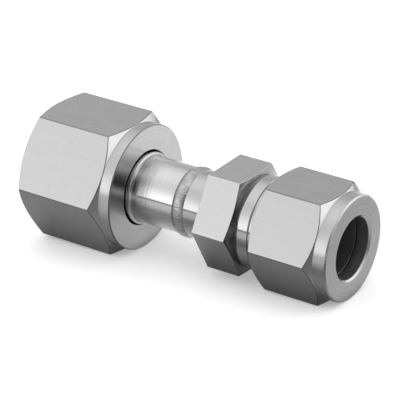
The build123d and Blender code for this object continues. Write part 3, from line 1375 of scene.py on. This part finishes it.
@dataclass
class Studio:
    """The floor, the tent of light, the card of painted shade and painted reflection, and the
    camera.

    Args:
        feet: The place along the axis and the height of each foot that the fitting stands on.
    """

    feet: tuple[tuple[float, float], tuple[float, float]]
    floor_half: float = 2500.0
    floor_white: float = 0.87
    floor_lift: float = 0.31
    tent_level: float = 0.76
    glows: tuple[Glow, ...] = (
        Glow(-33.0, 0.0, 55.0, 1.4),
        Glow(128.0, 24.0, 48.0, 1.35),
        Glow(96.0, 10.0, 26.0, 0.7, 1.0),
        Glow(156.0, 3.0, 32.0, 0.8, 1.0),
        Glow(-90.0, 58.0, 46.0, 0.7, 1.0),
        Glow(27.0, 13.0, 44.0, -0.74, 0.6),
        Glow(30.0, 68.0, 36.0, 0.9),
    )
    # The card is an emissive sheet seen only in reflections, painted with the floor's shade and
    # light.
    card_radius: float = 195.0
    card_steps: int = 96
    card_lift: float = 0.05
    card_grey: float = 0.82
    card_brightest: float = 1.5
    # Painted light behind the fitting and far from it, painted shade in front of it and past its
    # end.
    card_tones: tuple[CardTone, ...] = (
        CardTone(0.5, along=Span(end=(50.0, 76.0)), across=Span(start=(14.0, 36.0))),
        CardTone(0.12, beside=Span(start=(26.0, 60.0))),
        CardTone(-0.42, across=Span(end=(-16.0, 3.0)), beside=Span(end=(20.0, 36.0))),
        CardTone(-0.1, along=Span(start=(58.0, 70.0))),
    )
    # Painted shadows under the seal nut, under the body's hexagon and the tube nut, and a dark
    # patch in front.
    card_shadows: tuple[CardTone, ...] = (
        CardTone(0.84, along=Span((-22.0, -12.0), (5.0, 11.0)), beside=Span(end=(5.0, 17.0))),
        CardTone(0.84, along=Span((18.0, 27.0), (55.0, 60.0)), beside=Span(end=(5.0, 17.0))),
        CardTone(0.5, along=Span(start=(6.0, 20.0)), across=Span((-46.0, -34.0), (-26.0, -15.0))),
    )
    # The band is a painted dark reflection: the line at the horizon that the steel mirrors.
    band_height: float = 10.0
    band_level: float = 0.08
    target: tuple[float, float, float] = (20.768, 0.327, 0.554)
    azimuth: float = 33.565
    elevation: float = 26.187
    roll: float = -0.19
    distance: float = 454.1
    lens: float = 200.35
    sensor_width: float = 36.0
    clip: tuple[float, float] = (0.01, 20.0)

    def stage_material(self, name: str) -> tuple[bpy.types.Material, Graph]:
        """Makes an empty material for the stage.

        Args:
            name: The material's name.

        Returns:
            The material and its graph.
        """
        made = bpy.data.materials.new(name)
        made.use_nodes = True
        return made, Graph(made.node_tree)

    def floor_height(self, x: float) -> float:
        """Gives the height of the tilted floor at a place along the axis."""
        (left, left_height), (right, right_height) = self.feet
        return left_height + (x - left) * (right_height - left_height) / (right - left)

    def build_floor(self) -> None:
        """Lays the floor under the two feet that the fitting stands on."""
        half = self.floor_half
        corners = [(-half, -half), (half, -half), (half, half), (-half, half)]
        points = [(x, y, self.floor_height(x)) for x, y in corners]
        floor = add_object("floor", points, [(0, 1, 2, 3)], [0], pi)
        made, graph = self.stage_material("white_floor")
        plain = graph.add("ShaderNodeBsdfDiffuse", {}, {"Color": grey(self.floor_white)})
        lift = graph.add("ShaderNodeEmission", {}, {"Strength": self.floor_lift})
        lifted = graph.add("ShaderNodeAddShader", {}, {0: plain, 1: lift})
        rays = ("Is Camera Ray", "Is Glossy Ray", "Is Transmission Ray")
        camera, glossy, through = (graph.add("ShaderNodeLightPath", {}, {}, ray) for ray in rays)
        seen = camera + glossy + through
        shader = graph.add("ShaderNodeMixShader", {}, {0: seen, 1: plain, 2: lifted})
        graph.node("ShaderNodeOutputMaterial", {}, {"Surface": shader})
        floor.data.materials.append(made)

    def build_painted_shade_card(self) -> None:
        """Lays the round grey card that the steel mirrors, with a dark band round its rim:
        painted shade and painted reflection, seen only in reflections.
        """
        steps = self.card_steps
        points = [(self.target[0], 0, self.floor_height(self.target[0]) + self.card_lift)]
        for lift in (self.card_lift, self.card_lift + self.band_height):
            for step in range(steps):
                angle = tau * step / steps
                x = self.target[0] + self.card_radius * cos(angle)
                points.append((x, self.card_radius * sin(angle), self.floor_height(x) + lift))
        table, band = [], []
        for step in range(steps):
            here, there = 1 + step, 1 + (step + 1) % steps
            table.append((0, here, there))
            band.append((here, there, there + steps, here + steps))
        slots = [0] * steps + [1] * steps
        card = add_object("painted_shade_card", points, table + band, slots, pi)
        card.data.materials.append(self.painted_shade_grey())
        # The band's near-black glow paints the dark horizon line in the steel's reflections.
        dark, graph = self.stage_material("painted_horizon_band")
        shader = graph.add("ShaderNodeEmission", {}, {"Color": grey(self.band_level)})
        graph.node("ShaderNodeOutputMaterial", {}, {"Surface": shader})
        card.data.materials.append(dark)
        # Hidden from the camera, from diffuse light and from shadows, the card shows only as
        # painted reflection in the steel.
        card.visible_camera = card.visible_diffuse = card.visible_shadow = False

    def painted_shade_grey(self) -> bpy.types.Material:
        """Makes the card's grey: painted shade under the hexagons and in front of the fitting,
        painted light behind it.

        Returns:
            The material.
        """
        made, graph = self.stage_material("painted_shade_grey")
        along, across = (value / MM for value in graph.axes(graph.place())[:2])
        beside = graph.math("ABSOLUTE", across)
        level = self.card_grey
        for tone in self.card_tones:
            level = level + tone.strength(along, across, beside)
        for shadow in self.card_shadows:
            level = level * (1 - shadow.strength(along, across, beside))
        colour = graph.mixed(level / self.card_brightest, 0.0, 1.0)
        inputs = {"Color": colour, "Strength": self.card_brightest}
        shader = graph.add("ShaderNodeEmission", {}, inputs)
        graph.node("ShaderNodeOutputMaterial", {}, {"Surface": shader})
        return made

    def build_tent(self) -> None:
        """Sets the world as a plain white tent with its soft glows."""
        world = bpy.data.worlds.new("studio_tent")
        bpy.context.scene.world = world
        world.use_nodes = True
        graph = Graph(world.node_tree)
        ray = graph.add("ShaderNodeTexCoord", {}, {}, "Generated")
        level = self.tent_level
        for glow in self.glows:
            level = level + glow.brightness(graph, ray)
        light = graph.add("ShaderNodeBackground", {}, {"Color": grey(1.0), "Strength": level})
        graph.node("ShaderNodeOutputWorld", {}, {"Surface": light})

    def build_camera(self) -> None:
        """Sets the camera at the photograph's angle."""
        data = bpy.data.cameras.new("camera")
        data.lens, data.sensor_width = self.lens, self.sensor_width
        data.clip_start, data.clip_end = self.clip
        camera = bpy.data.objects.new("camera", data)
        bpy.context.scene.collection.objects.link(camera)
        back = direction(self.azimuth, self.elevation)
        across = Vector((0, 0, 1)).cross(back).normalized()
        upright = back.cross(across)
        roll = radians(self.roll)
        up = upright * cos(roll) + across * sin(roll)
        right = up.cross(back)
        turned = Matrix((right, up, back)).transposed().to_4x4()
        turned.translation = (Vector(self.target) + back * self.distance) * MM
        camera.matrix_world = turned
        bpy.context.scene.camera = camera

    def build(self) -> None:
        """Sets up the stage."""
        self.build_floor()
        self.build_painted_shade_card()
        self.build_tent()
        self.build_camera()
        bpy.context.scene.view_settings.view_transform = "Standard"


def main() -> None:
    """Builds the fitting's sub-assemblies and the studio in order."""
    logging.basicConfig(level=logging.INFO, format="%(name)s: %(message)s")
    tube_nut, face_seal_nut = TubeNut("compression_nut"), FaceSealNut("swivel_nut")
    for part in (WeldedBody("welded_body"), FerruleSet("ferrule_set"), tube_nut, face_seal_nut):
        part.build()
        LOG.info("%s is built", type(part).__name__)
    Studio((face_seal_nut.foot(), tube_nut.foot())).build()


if __name__ == "__main__":
    main()
